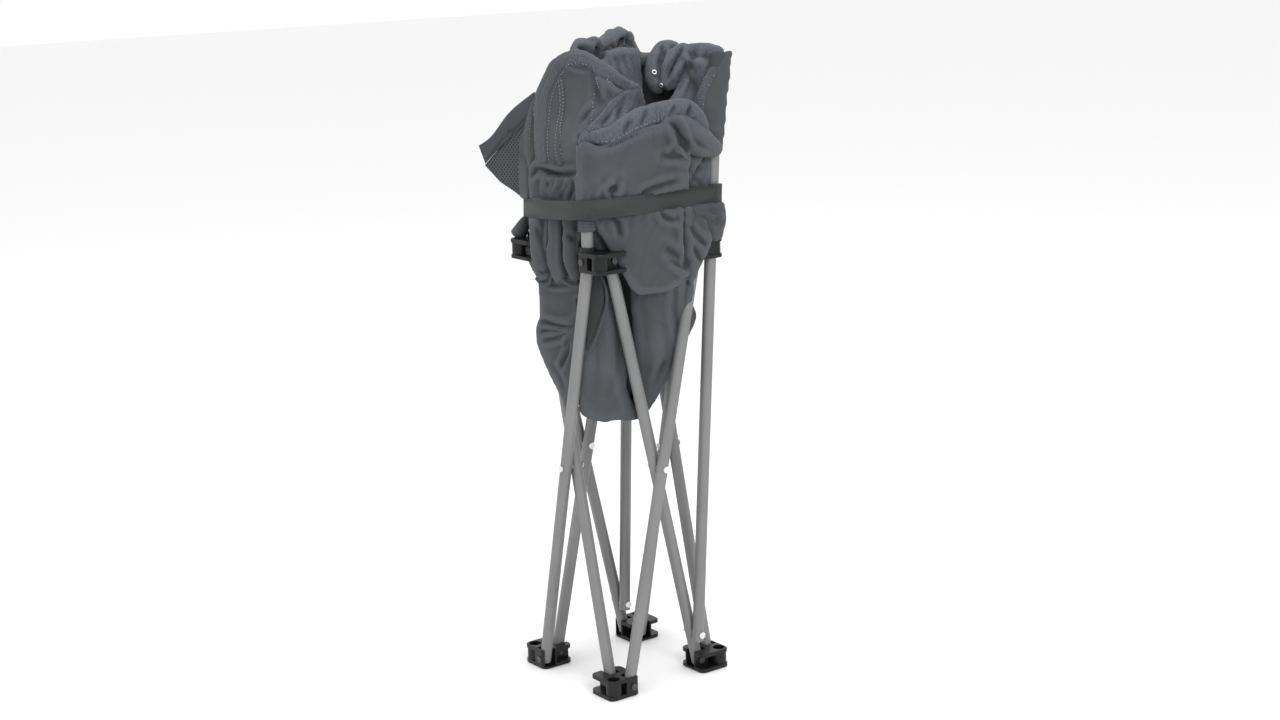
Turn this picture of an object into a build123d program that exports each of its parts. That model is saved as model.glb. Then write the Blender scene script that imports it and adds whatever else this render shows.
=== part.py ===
from math import atan2, cos, hypot, sin
import os
from build123d import *

os.makedirs("parts", exist_ok=True)

# ---- frame layout (mm), chair folded, front towards -Y, origin on the floor ----
CORNER = 78.5  # corner block centres stand this far from the middle, both ways
PIVOT_IN = 13.0  # a tube pivot lies this far in from its block centre, along the side
OUTER = 14.0  # outer tube plane, outwards from the block centres
INNER = -2.6  # inner tube plane, inwards from the block centres
FOOT_PIN_Z = 13.0  # foot pins above the floor
HUB_PIN_Z = 594.0  # hub pins above the floor

# ---- tubes ----
TUBE_R = 8.0
TUBE_WALL = 1.2
TUBE_END = 5.0  # tube left beyond its end pivots
PIN_R = 2.5
PIN_PLAY = 0.05  # radial running clearance of the pins in the tubes
HEAD_R = 4.6
HEAD_H = 1.8

# ---- corner blocks (foot way up; hubs are the same moulding turned over) ----
BLOCK_HALF = 24.5
REAR_HALF = 26.3  # the rear hubs are wider, for their post bores
BLOCK_H = 27.0
BLOCK_CORNER_R = 8.6
FLOOR_T = 3.2  # plate under the slots
PLATE_T = 5.5  # lower flange
TOP_T = 5.0  # upper flange
SLOT_HALF = 8.3
SLOT_BACK = 9.7  # slot's closed end, behind its pin
SLOT_WALL = 2.2
BORE_AT = 13.0  # corner bore, along the side from the block centre
BORE_R = 8.4
BORE_WALL = 2.2
PIN_GRIP = 3.0  # pin length held beyond its slot
LEAN_PLAY = 0.35  # end play of a post rivet, as the left post leans sideways
EDGE = 0.8

# ---- back posts ----
POST_PIVOT = 44.0  # post rivet above the foot pin, along the tube
POST_TAIL = 9.0
POST_TOP_Z = 845.0
POST_IN = 12.5  # a post's place in its hub, from the block centre
REAR_SLOT_OUT = 3.4  # extra bore length towards the back for the changing lean
REAR_SLOT_IN = 4.5  # and towards the chair
SIDE_SLOT = 4.8  # extra bore width for the left post's sideways lean

# ---- arm posts ----
ARM_TOP_Z = 738.0
SPIGOT_H = 22.0
SPIGOT_PLAY = 0.1
COLLAR_R = 10.6
COLLAR_H = 6.0
COLLAR_PLAY = 0.1

# ---- soft goods ----
SLEEVE_R = 10.4
SLEEVE_PLAY = 0.4
ARM_SLEEVE_Z = (634.0, 744.0)
POST_SLEEVE_Z = (722.0, 851.0)
SEAT_HALF_X = 59.0
SEAT_Z = (352.0, 574.0)
FRONT_LEAF_Y = (-62.0, -26.0)
BACK_LEAF_Y = (-20.0, 42.0)
SPLIT = 0.5  # half gap between the two halves of a soft piece
BACK_Y = (46.0, 78.0)
BACK_TONGUE_Y = (46.0, 65.0)
BACK_X = (-72.0, 79.0)
BACK_TONGUE_X = 48.0
BACK_Z = (462.0, 616.0, 842.0)
ARM_X = (62.0, 80.0)
ARM_Y = (-78.0, -18.0, 44.0)
ARM_Z = (624.0, 756.0)
SOFT_R = 7.0
STRAP_Z = (653.0, 678.0)
STRAP_X = (-107.0, 108.0)
STRAP_Y = (-108.0, 109.0)
STRAP_T = 1.6
STRAP_R = 12.0
POCKET_X = (-116.0, -84.0)
POCKET_Y = (-124.0, -80.0)
POCKET_Z = (690.0, 790.0)

CORNERS = {"front_right": 0, "back_right": 90, "back_left": 180, "front_left": 270}
FOOT_MID = (CORNER, -CORNER)  # the corner that all four are turned from
HUB_MID = (CORNER, CORNER)


def turned(shape, angle):
    """The shape turned about the chair's upright middle line."""
    return Rot(0, 0, angle) * shape


def upright_box(x, y, z, radius=0.0):
    """A box between the given limits, its upright edges and rims rounded."""
    mid = [(a + b) / 2 for a, b in (x, y, z)]
    box = Pos(*mid) * Box(x[1] - x[0], y[1] - y[0], z[1] - z[0])
    return fillet(box.edges(), radius) if radius else box


def plate(half, bottom, height):
    """A square flange with rounded corners."""
    outline = RectangleRounded(2 * half, 2 * half, BLOCK_CORNER_R)
    return Pos(0, 0, bottom) * extrude(outline, height)


def rod(start, end, radius):
    """A round rod between two points."""
    run = [b - a for a, b in zip(start, end)]
    length = hypot(*run)
    return Plane(origin=start, z_dir=run) * Pos(0, 0, length / 2) * Cylinder(radius, length)


def tube(start, end, radius=TUBE_R):
    """A hollow tube between two points."""
    run = [b - a for a, b in zip(start, end)]
    unit = [c / hypot(*run) for c in run]
    over = [[p[i] + s * unit[i] for i in range(3)] for p, s in ((start, -1), (end, 1))]
    return rod(start, end, radius) - rod(*over, radius - TUBE_WALL)


def along(start, end, distance):
    """The point at a distance from start towards end; a negative one lies beyond start."""
    run = [b - a for a, b in zip(start, end)]
    return tuple(a + c * distance / hypot(*run) for a, c in zip(start, run))


def corner_block(half, bore_x, bore_y, through):
    """Foot moulding about its own centre: an outer slot open to +Y and an inner slot open to -X,
    both open upwards, between two flanges, with an upright bore at the outer corner."""
    body = plate(half, 0, PLATE_T) + plate(half, BLOCK_H - TOP_T, TOP_T)
    outer = (OUTER - SLOT_HALF, OUTER + SLOT_HALF)
    inner = (-INNER - SLOT_HALF, -INNER + SLOT_HALF)
    back = PIVOT_IN - SLOT_BACK
    core = upright_box((outer[0] - SLOT_WALL, half), (back - SLOT_WALL, half), (0, BLOCK_H))
    core += upright_box((-half, -back + SLOT_WALL), (inner[0] - SLOT_WALL, inner[1] + SLOT_WALL), (0, BLOCK_H))
    bore_mid = Pos(sum(bore_x) / 2, sum(bore_y) / 2, 0)
    wide, deep = bore_x[1] - bore_x[0], bore_y[1] - bore_y[0]
    boss = RectangleRounded(wide + 2 * BORE_WALL, deep + 2 * BORE_WALL, BORE_R + BORE_WALL - 0.01)
    core += bore_mid * extrude(boss, BLOCK_H)
    body += core & plate(half, 0, BLOCK_H)
    rims = [e for e in body.edges() if e.center().Z < 0.01 or e.center().Z > BLOCK_H - 0.01]
    body = chamfer([e for e in rims if e.length > 2 * EDGE], EDGE)
    body -= upright_box(outer, (back, 2 * half), (FLOOR_T, 2 * BLOCK_H))
    body -= upright_box((-2 * half, -back), inner, (FLOOR_T, 2 * BLOCK_H))
    bore = RectangleRounded(wide, deep, BORE_R - 0.01)
    bottom = -1.0 if through else FLOOR_T
    return body - bore_mid * Pos(0, 0, bottom) * extrude(bore, 2 * BLOCK_H)


def block_pins(half):
    """The two pins of a foot moulding: one across the outer slot, one across the inner slot."""
    outer_in = OUTER - SLOT_HALF - PIN_GRIP
    outer_pin = rod((outer_in, PIVOT_IN, FOOT_PIN_Z), (half, PIVOT_IN, FOOT_PIN_Z), PIN_R)
    outer_pin += rod((half, PIVOT_IN, FOOT_PIN_Z), (half + HEAD_H, PIVOT_IN, FOOT_PIN_Z), HEAD_R)
    inner_low = -INNER - SLOT_HALF - SLOT_WALL - HEAD_H
    inner_top = -INNER + SLOT_HALF + SLOT_WALL
    inner_pin = rod((-PIVOT_IN, inner_low, FOOT_PIN_Z), (-PIVOT_IN, inner_top, FOOT_PIN_Z), PIN_R)
    cap_end = (-PIVOT_IN, inner_low + HEAD_H, FOOT_PIN_Z)
    inner_pin += rod((-PIVOT_IN, inner_low, FOOT_PIN_Z), cap_end, HEAD_R)
    return [outer_pin, inner_pin]


def drilled(block, pins):
    """The block with its pin holes."""
    for pin in pins:
        block -= pin
    return block


def foot_place(shape):
    """A foot piece moved from its own centre to the front right corner."""
    return Pos(*FOOT_MID, 0) * shape


def hub_place(shape):
    """A foot piece turned over and moved to the back right corner at hub height."""
    return Pos(*HUB_MID, HUB_PIN_Z + FOOT_PIN_Z) * Rot(180, 0, 0) * shape


def outer_ends():
    """End pivots of the right side's outer tube, from the front foot to the rear hub."""
    x = CORNER + OUTER
    run = CORNER - PIVOT_IN
    return (x, -run, FOOT_PIN_Z), (x, run, HUB_PIN_Z)


def inner_ends():
    """End pivots of the front side's inner tube, from the right foot to the left hub."""
    y = -CORNER - INNER
    run = CORNER - PIVOT_IN
    return (run, y, FOOT_PIN_Z), (-run, y, HUB_PIN_Z)


def cross_hole(point, axis):
    """Cutter for a pin hole right through a tube at a point."""
    far = 2 * TUBE_R
    start = tuple(p - far * a for p, a in zip(point, axis))
    end = tuple(p + far * a for p, a in zip(point, axis))
    return rod(start, end, PIN_R + PIN_PLAY)


def cross_tube(ends, axis, post_hole):
    """A frame tube drilled at both end pivots, at its middle and, if asked, for a post rivet."""
    low, high = ends
    span = hypot(*[b - a for a, b in zip(low, high)])
    shape = tube(along(low, high, -TUBE_END), along(low, high, span + TUBE_END))
    for distance in [0, span / 2, span] + [POST_PIVOT] * post_hole:
        shape -= cross_hole(along(low, high, distance), axis)
    return shape


def rivet(x, y, z, play):
    """A rivet along X through two tubes side by side: a head at each end, a washer between them."""
    head_at = (OUTER - INNER) / 2 + TUBE_R + play
    washer = max((OUTER - INNER) / 2 - TUBE_R - play, PIN_PLAY)
    shape = rod((x - head_at, y, z), (x + head_at, y, z), PIN_R)
    shape += rod((x - washer, y, z), (x + washer, y, z), HEAD_R)
    for way in (-1, 1):
        shape += rod((x + way * head_at, y, z), (x + way * (head_at + HEAD_H), y, z), HEAD_R)
    return shape


def back_post(low, high_mid):
    """A long post from its lower rivet up through its hub to the top of the backrest."""
    span = hypot(*[b - a for a, b in zip(low, high_mid)])
    top = span * (POST_TOP_Z - low[2]) / (high_mid[2] - low[2])
    return tube(along(low, high_mid, -POST_TAIL), along(low, high_mid, top)) - cross_hole(low, (1, 0, 0))


def post_sleeve(low, high_mid):
    """Cloth sleeve round the upper end of a back post."""
    rise = high_mid[2] - low[2]
    span = hypot(*[b - a for a, b in zip(low, high_mid)])
    ends = [along(low, high_mid, span * (z - low[2]) / rise) for z in POST_SLEEVE_Z]
    over = [along(low, high_mid, span * (z - low[2]) / rise) for z in (POST_SLEEVE_Z[0] - 1, POST_TOP_Z + 1)]
    return rod(*ends, SLEEVE_R) - rod(*over, TUBE_R + SLEEVE_PLAY)


def half_box(x, y, z):
    """One half of a soft piece, as a plain padded block."""
    return upright_box(x, y, z, SOFT_R)


def save(name, shape):
    """One STEP file for a node; a list is kept as separate solids."""
    node = Compound(children=list(shape)) if isinstance(shape, list) else shape
    node.label = name
    export_step(node, f"parts/{name}.step")


# ---- feet, hubs and their pins ----
PLAIN_BORE = (OUTER - BORE_R, OUTER + BORE_R), (-BORE_AT - BORE_R, -BORE_AT + BORE_R)
foot_pins = block_pins(BLOCK_HALF)
foot = drilled(corner_block(BLOCK_HALF, *PLAIN_BORE, False), foot_pins)
for corner, angle in CORNERS.items():
    save(f"foot_{corner}", turned(foot_place(foot), angle))
    save(f"foot_pins_{corner}", [turned(foot_place(p), angle) for p in foot_pins])

# the right rear bore is long towards the back; the left one, seen turned, is wide as well
rear_reach = (POST_IN - BORE_R - REAR_SLOT_IN, POST_IN + BORE_R + REAR_SLOT_OUT)
right_bore = (OUTER - BORE_R, OUTER + BORE_R), (-rear_reach[1], -rear_reach[0])
left_bore = rear_reach, (-POST_IN - BORE_R, -POST_IN + BORE_R + SIDE_SLOT)
rear_pins = block_pins(REAR_HALF)
hub_right = drilled(corner_block(REAR_HALF, *right_bore, True), rear_pins)
hub_left = drilled(corner_block(REAR_HALF, *left_bore, True), rear_pins)
for corner, angle, block in (("back_right", 0, hub_right), ("back_left", 90, hub_left)):
    save(f"hub_{corner}", turned(hub_place(block), angle))
    save(f"hub_pins_{corner}", [turned(hub_place(p), angle) for p in rear_pins])

# a front hub has a collar and a spigot on top, over its outer slot, for the arm post
post_mid = Pos(OUTER, PIVOT_IN, 0)
collar = Cylinder(COLLAR_R, COLLAR_H) - Cylinder(TUBE_R + COLLAR_PLAY, 2 * COLLAR_H)
spigot = Cylinder(TUBE_R - TUBE_WALL - SPIGOT_PLAY, SPIGOT_H)
front_block = drilled(corner_block(BLOCK_HALF, *PLAIN_BORE, False), foot_pins)
front_block += post_mid * Pos(0, 0, -COLLAR_H / 2) * collar
front_block += post_mid * Pos(0, 0, -SPIGOT_H / 2) * spigot
arm_base = HUB_PIN_Z + FOOT_PIN_Z
for corner, angle, side in (("front_right", -90, "right"), ("front_left", 180, "left")):
    save(f"hub_{corner}", turned(hub_place(front_block), angle))
    save(f"hub_pins_{corner}", [turned(hub_place(p), angle) for p in foot_pins])
    x, y = CORNER + OUTER, CORNER - PIVOT_IN
    save(f"arm_post_{side}", turned(tube((x, y, arm_base), (x, y, ARM_TOP_Z)), angle))
    sleeve = rod((x, y, ARM_SLEEVE_Z[0]), (x, y, ARM_SLEEVE_Z[1]), SLEEVE_R)
    sleeve -= rod((x, y, ARM_SLEEVE_Z[0] - 1), (x, y, ARM_TOP_Z + 1), TUBE_R + SLEEVE_PLAY)
    save(f"arm_sleeve_{side}", turned(sleeve, angle))

# ---- cross tubes: an outer and an inner one on each side ----
SIDES = {"right": 0, "back": 90, "left": 180, "front": 270}
INNER_SIDES = {"front": 0, "right": 90, "back": 180, "left": 270}
PLANES_MID = CORNER + (OUTER + INNER) / 2
mid_z = (FOOT_PIN_Z + HUB_PIN_Z) / 2
for side, angle in SIDES.items():
    save(f"tube_outer_{side}", turned(cross_tube(outer_ends(), (1, 0, 0), side == "left"), angle))
    save(f"mid_rivet_{side}", turned(rivet(PLANES_MID, 0, mid_z, PIN_PLAY), angle))
for side, angle in INNER_SIDES.items():
    save(f"tube_inner_{side}", turned(cross_tube(inner_ends(), (0, 1, 0), side == "right"), angle))

# ---- back posts and their lower rivets ----
tilt = atan2(2 * (CORNER - PIVOT_IN), HUB_PIN_Z - FOOT_PIN_Z)
rivet_y = CORNER - PIVOT_IN - POST_PIVOT * sin(tilt)
rivet_z = FOOT_PIN_Z + POST_PIVOT * cos(tilt)
right_low = (CORNER + OUTER, rivet_y, rivet_z)
right_mid = (CORNER + OUTER, CORNER + POST_IN, HUB_PIN_Z)
left_low = (-CORNER - INNER, rivet_y, rivet_z)
left_mid = (-CORNER - POST_IN, CORNER + POST_IN, HUB_PIN_Z)
for side, low, mid in (("right", right_low, right_mid), ("left", left_low, left_mid)):
    save(f"back_post_{side}", back_post(low, mid))
    save(f"back_sleeve_{side}", post_sleeve(low, mid))
    middle_x = PLANES_MID if side == "right" else -PLANES_MID
    save(f"post_rivet_{side}", rivet(middle_x, rivet_y, rivet_z, LEAN_PLAY))

# ---- seat: two hanging leaves, each in a left and a right half ----
for name, y in (("front", FRONT_LEAF_Y), ("back", BACK_LEAF_Y)):
    save(f"seat_{name}_right", half_box((SPLIT, SEAT_HALF_X), y, SEAT_Z))
    save(f"seat_{name}_left", half_box((-SEAT_HALF_X, -SPLIT), y, SEAT_Z))

# ---- backrest: a wide upper part and a narrow tongue that hangs between the rear hubs ----
for side, x, tongue in (
    ("right", (SPLIT, BACK_X[1]), (SPLIT, BACK_TONGUE_X)),
    ("left", (BACK_X[0], -SPLIT), (-BACK_TONGUE_X, -SPLIT)),
):
    upper = upright_box(x, BACK_Y, BACK_Z[1:], SOFT_R)
    lower = upright_box(tongue, BACK_TONGUE_Y, (BACK_Z[0], BACK_Z[1] + 2 * SOFT_R), SOFT_R)
    save(f"backrest_{side}", upper + lower)

# ---- armrests, mesh pocket and strap ----
for side, x in (("right", ARM_X), ("left", (-ARM_X[1], -ARM_X[0]))):
    save(f"armrest_{side}_front", half_box(x, (ARM_Y[0], ARM_Y[1] - SPLIT), ARM_Z))
    save(f"armrest_{side}_rear", half_box(x, (ARM_Y[1] + SPLIT, ARM_Y[2]), ARM_Z))
save("mesh_pocket", half_box(POCKET_X, POCKET_Y, POCKET_Z))

wide, deep = STRAP_X[1] - STRAP_X[0], STRAP_Y[1] - STRAP_Y[0]
band = RectangleRounded(wide, deep, STRAP_R)
band -= RectangleRounded(wide - 2 * STRAP_T, deep - 2 * STRAP_T, STRAP_R - STRAP_T)
strap = extrude(band, STRAP_Z[1] - STRAP_Z[0])
save("strap", Pos(sum(STRAP_X) / 2, sum(STRAP_Y) / 2, STRAP_Z[0]) * strap)
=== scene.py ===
import math
import bmesh
import bpy
import numpy as np
from mathutils import Matrix, Vector
from mathutils.bvhtree import BVHTree


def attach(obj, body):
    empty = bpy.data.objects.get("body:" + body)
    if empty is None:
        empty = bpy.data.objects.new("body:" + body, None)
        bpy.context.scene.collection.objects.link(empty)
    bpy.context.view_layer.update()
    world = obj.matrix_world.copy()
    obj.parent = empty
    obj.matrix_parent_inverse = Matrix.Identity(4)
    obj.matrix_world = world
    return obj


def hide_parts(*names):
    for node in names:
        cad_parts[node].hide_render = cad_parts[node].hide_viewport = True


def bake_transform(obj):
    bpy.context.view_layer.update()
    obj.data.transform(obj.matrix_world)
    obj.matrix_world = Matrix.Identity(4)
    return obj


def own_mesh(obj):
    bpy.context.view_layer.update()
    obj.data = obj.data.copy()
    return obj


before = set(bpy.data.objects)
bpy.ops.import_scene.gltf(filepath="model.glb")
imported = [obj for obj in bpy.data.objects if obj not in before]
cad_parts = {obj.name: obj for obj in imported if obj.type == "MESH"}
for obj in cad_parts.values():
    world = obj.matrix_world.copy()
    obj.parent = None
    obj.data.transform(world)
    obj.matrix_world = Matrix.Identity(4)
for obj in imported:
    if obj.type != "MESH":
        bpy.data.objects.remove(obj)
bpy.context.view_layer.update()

MM = 0.001

# ------------------------------------------------------------------ view directions
VIEW_TURN = math.radians(53.4)  # the viewpoint, turned from the chair's front towards its right
ACROSS = (math.cos(VIEW_TURN), math.sin(VIEW_TURN))
TOWARDS = (math.sin(VIEW_TURN), -math.cos(VIEW_TURN))


# The cloth's (u, d, z) points below were read off the photo and turned into millimetres by a scratch script with
# the fitted camera, then rounded and adjusted by hand; they aren't worked out from the frame.
def at(u, d, z):
    """A point u mm to the right of the middle as seen from the viewpoint, d mm nearer to it, z mm up."""
    return (ACROSS[0] * u + TOWARDS[0] * d, ACROSS[1] * u + TOWARDS[1] * d, z)


# ------------------------------------------------------------------ numbers to meshes
def catmull(points, count, closed=False):
    """A smooth curve through the points, as count samples."""
    p = np.array(points, float)
    n = len(p)
    spans = n if closed else n - 1
    t = np.linspace(0, spans, count, endpoint=not closed)
    i = np.minimum(t.astype(int), spans - 1)
    f = (t - i)[:, None]
    if closed:
        a, b, c, d = (p[(i + k) % n] for k in (-1, 0, 1, 2))
    else:
        a, b, c, d = (p[np.clip(i + k, 0, n - 1)] for k in (-1, 0, 1, 2))
    return 0.5 * (2 * b + (c - a) * f + (2 * a - 5 * b + 4 * c - d) * f**2 + (3 * b - a - 3 * c + d) * f**3)


def face_outwards(mesh):
    """Turns every face of a closed mesh the same way round."""
    bm = bmesh.new()
    bm.from_mesh(mesh)
    bmesh.ops.recalc_face_normals(bm, faces=bm.faces)
    bm.to_mesh(mesh)
    bm.free()


def mesh_object(name, verts_mm, faces, smooth=True):
    mesh = bpy.data.meshes.new(name)
    mesh.from_pydata([tuple(v) for v in np.asarray(verts_mm) * MM], [], faces)
    face_outwards(mesh)
    mesh.validate()
    mesh.update()
    obj = bpy.data.objects.new(name, mesh)
    bpy.context.scene.collection.objects.link(obj)
    if smooth:
        mesh.shade_smooth()
    return obj


def coords(obj):
    co = np.empty(len(obj.data.vertices) * 3)
    obj.data.vertices.foreach_get("co", co)
    return co.reshape(-1, 3) / MM


def normals(obj):
    no = np.empty(len(obj.data.vertices) * 3)
    obj.data.vertices.foreach_get("normal", no)
    return no.reshape(-1, 3)


def set_coords(obj, co):
    obj.data.vertices.foreach_set("co", (np.asarray(co) * MM).ravel())
    obj.data.update()


def apply_modifier(obj, kind, **settings):
    mod = obj.modifiers.new(kind, kind)
    for key, value in settings.items():
        setattr(mod, key, value)
    deps = bpy.context.evaluated_depsgraph_get()
    mesh = bpy.data.meshes.new_from_object(obj.evaluated_get(deps))
    obj.modifiers.clear()
    old = obj.data
    obj.data = mesh
    bpy.data.meshes.remove(old)
    obj.data.shade_smooth()


def grid_faces(rows, cols, wrap):
    faces = []
    for r in range(rows - 1):
        for c in range(cols if wrap else cols - 1):
            d = (c + 1) % cols
            faces.append((r * cols + c, r * cols + d, (r + 1) * cols + d, (r + 1) * cols + c))
    return faces


def column(rings, around=72, up=60):
    """A closed body lofted through level loops of (x, y) points, given with their heights."""
    loops = [catmull([(x, y, z) for x, y in loop], around, True) for z, loop in rings]
    stack = catmull([l.ravel() for l in loops], up).reshape(up, around, 3)
    ends = []
    for ring, inner in ((stack[0], stack[1]), (stack[-1], stack[-2])):
        mid = ring.mean(0)
        away = ring.mean(0) - inner.mean(0)
        away = away / max(np.linalg.norm(away), 1e-6)
        ends.append([mid + (ring - mid) * s + away * lift for s, lift in ((0.86, 5), (0.55, 9), (0.2, 11))])
    layers = [ends[0][2], ends[0][1], ends[0][0], *stack, ends[1][0], ends[1][1], ends[1][2]]
    verts = np.concatenate(layers)
    faces = grid_faces(len(layers), around, True)
    faces.append(tuple(range(around))[::-1])
    last = (len(layers) - 1) * around
    faces.append(tuple(range(last, last + around)))
    return verts, faces


def pad(top, bottom, crown, nu, nv):
    """A thin filled panel between a top and a bottom edge, crowned by crown on either side."""
    a, b = catmull(top, nu), catmull(bottom, nu)
    s = np.linspace(0, 1, nu)[None, :, None]
    t = np.linspace(0, 1, nv)[:, None, None]
    face = a[None] * (1 - t) + b[None] * t
    du = np.gradient(face, axis=1)
    dv = np.gradient(face, axis=0)
    n = np.cross(du, dv)
    n /= np.maximum(np.linalg.norm(n, axis=2, keepdims=True), 1e-9)
    toward = np.array([*TOWARDS, 0.0])
    n *= np.sign((n * toward).sum() or 1.0)
    puff = ((1 - np.abs(2 * s - 1) ** 5) * (1 - np.abs(2 * t - 1) ** 5)) ** 0.5
    near = face + n * puff * crown
    far = face - n * puff * crown
    verts = np.concatenate([near.reshape(-1, 3), far.reshape(-1, 3)])
    faces = grid_faces(nv, nu, False)
    faces += [tuple(i + nu * nv for i in f[::-1]) for f in grid_faces(nv, nu, False)]
    return verts, faces


def roll(path, widths, thick=None, around=28, count=70):
    """A padded roll along a path: widths across and, if given, thick towards the viewpoint."""
    line = catmull(path, count)
    w = np.interp(np.linspace(0, 1, count), np.linspace(0, 1, len(widths)), widths)
    h = w if thick is None else np.interp(np.linspace(0, 1, count), np.linspace(0, 1, len(thick)), thick)
    tangent = np.gradient(line, axis=0)
    tangent /= np.linalg.norm(tangent, axis=1, keepdims=True)
    side = np.cross(tangent, np.array([*TOWARDS, 0.0]))
    side /= np.maximum(np.linalg.norm(side, axis=1, keepdims=True), 1e-9)
    out = np.cross(side, tangent)
    angle = np.linspace(0, 2 * math.pi, around, endpoint=False)
    rings = []
    for k, size in ((0, 0.25), (0, 0.75), *((i, 1.0) for i in range(count)), (count - 1, 0.75),
                    (count - 1, 0.25)):
        push = {0.25: 0.42, 0.75: 0.3}.get(size, 0) * w[k] / 2 * (-1 if k == 0 else 1)
        ring = line[k] + tangent[k] * push
        rings.append(ring + size * (np.outer(np.cos(angle), side[k]) * w[k] + np.outer(np.sin(angle),
                                                                                       out[k]) * h[k]) / 2)
    verts = np.concatenate(rings)
    faces = grid_faces(len(rings), around, True)
    faces.append(tuple(range(around))[::-1])
    last = (len(rings) - 1) * around
    faces.append(tuple(range(last, last + around)))
    return verts, faces


def joined(name, shapes, voxel=2.2, smooth=5):
    """The shapes melted into one cloth body."""
    verts, faces, base = [], [], 0
    for v, f in shapes:
        verts.append(v)
        faces += [tuple(i + base for i in face) for face in f]
        base += len(v)
    obj = mesh_object(name, np.concatenate(verts), faces)
    apply_modifier(obj, "REMESH", mode="VOXEL", voxel_size=voxel * MM)
    apply_modifier(obj, "SMOOTH", factor=0.5, iterations=smooth)
    return obj


def lattice_noise(p, seed):
    """Smooth gradient noise, about -1 to 1, at each row of p."""
    i = np.floor(p).astype(np.int64)
    f = p - i
    w = f * f * f * (f * (f * 6 - 15) + 10)
    total = np.zeros(len(p))
    for dx in (0, 1):
        for dy in (0, 1):
            for dz in (0, 1):
                q = i + (dx, dy, dz)
                cell = q[:, 0] * 374761393 + q[:, 1] * 668265263 + q[:, 2] * 2147483647
                h = (cell + seed * 1274126177) & 0xFFFFFFFF
                h = ((h ^ (h >> 13)) * 1274126177) & 0xFFFFFFFF
                h = h ^ (h >> 16)
                g = np.stack([(h & 255) / 127.5 - 1, ((h >> 8) & 255) / 127.5 - 1,
                              ((h >> 16) & 255) / 127.5 - 1], 1)
                dot = (g * (f - (dx, dy, dz))).sum(1)
                part = np.ones(len(p))
                for k, on in enumerate((dx, dy, dz)):
                    part = part * (w[:, k] if on else 1 - w[:, k])
                total += dot * part
    return total


def wrinkle(obj, amount, size, seed, valley=0.25, swell=0.5, lines=0.25):
    """Soft swells and some narrow valleys, size (mm) along x, y and z."""
    co, no = coords(obj), normals(obj)
    p = co / np.array(size, float)
    warp = np.stack([lattice_noise(p * 0.7 + 9.1 * k, seed + k) for k in range(3)], 1)
    n = lattice_noise(p + warp * 0.9, seed + 5)
    fine = lattice_noise(p * 2.3 + warp, seed + 8)
    deep = np.maximum(0, 1 - np.abs(n) / valley) ** 1.5 + 0.45 * np.maximum(0, 1 - np.abs(fine) / valley) ** 1.5
    push = swell * n - lines * deep
    set_coords(obj, co + no * (push * amount)[:, None])


def crease(obj, path, depth, width, lip=0.35):
    """A sharp valley along a path over the surface, with soft lips, fading at its ends."""
    co, no = coords(obj), normals(obj)
    line = catmull(path, 40)
    best = np.full(len(co), 1e9)
    where = np.zeros(len(co))
    for k in range(len(line) - 1):
        a, b = line[k], line[k + 1]
        ab = b - a
        t = np.clip(((co - a) @ ab) / max(ab @ ab, 1e-9), 0, 1)
        dist = np.linalg.norm(co - a - t[:, None] * ab, axis=1)
        near = dist < best
        best[near] = dist[near]
        where[near] = (k + t[near]) / (len(line) - 1)
    fade = np.sin(np.pi * np.clip(where, 0.02, 0.98)) ** 0.6
    x = best / width
    shape = -np.exp(-(x**1.3)) + lip * np.exp(-((x - 2.2) ** 2))
    set_coords(obj, co + no * (shape * depth * fade * (best < 5 * width))[:, None])


def pucker(obj, path, amount, pitch, reach, seed=0):
    """Small gathers that run away from a drawn or stitched line."""
    co, no = coords(obj), normals(obj)
    line = catmull(path, 80)
    far = np.concatenate([[0], np.cumsum(np.linalg.norm(np.diff(line, axis=0), axis=1))])
    near = np.argmin(np.linalg.norm(co[:, None] - line[None], axis=2), axis=1)
    dist = np.linalg.norm(co - line[near], axis=1)
    tangent = np.gradient(line, axis=0)
    tangent /= np.linalg.norm(tangent, axis=1, keepdims=True)
    s = far[near] + ((co - line[near]) * tangent[near]).sum(1)
    level = np.ones(len(s))
    wander = lattice_noise(np.column_stack([s / (pitch * 3), dist / (reach * 0.8), (seed + 0.5) * level]), seed)
    wave = np.sin(2 * math.pi * (s / pitch + 0.8 * wander))
    along = np.column_stack([s / (pitch * 1.7), 0 * level, (seed + 3.5) * level])
    size = 0.6 + 0.8 * lattice_noise(along, seed + 1)
    inside = (near > 0) & (near < len(line) - 1)
    set_coords(obj, co + no * (wave * size * amount * np.exp(-((dist / reach) ** 1.5)) * inside)[:, None])


# ------------------------------------------------------------------ the strap's loop
STRAP_Z = 656.5
STRAP_TILT = 0.09  # rise per mm towards +X
STRAP_LOOP = [(104, -60), (107, 0), (106, 60), (105, 97), (91, 109), (40, 110), (-30, 109), (-94, 107),
    (-104, 94), (-104, 30), (-104, -30), (-105, -62), (-98, -78), (-82, -88), (-30, -104), (20, -109),
    (62, -109), (90, -96)]


def loop_radius(co):
    """How far the strap's loop lies from the middle, in each point's direction."""
    loop = catmull(STRAP_LOOP, 240, True)
    angle = np.arctan2(loop[:, 1], loop[:, 0])
    order = np.argsort(angle)
    radius = np.hypot(loop[:, 0], loop[:, 1])[order]
    return np.interp(np.arctan2(co[:, 1], co[:, 0]), angle[order], radius, period=2 * math.pi)


def cinch(obj, inset=1.5, reach=30.0):
    """Draws a cloth body in under the strap."""
    co = coords(obj)
    off = np.abs(co[:, 2] - STRAP_Z - STRAP_TILT * co[:, 0])
    soft = np.clip((off - 11) / reach, 0, 1)
    allowed = loop_radius(co) - inset + 26 * soft**0.8 + 60 * (soft >= 1)
    r = np.hypot(co[:, 0], co[:, 1])
    scale = np.minimum(1, allowed / np.maximum(r, 1e-6))
    co[:, :2] *= scale[:, None]
    set_coords(obj, co)
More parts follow.
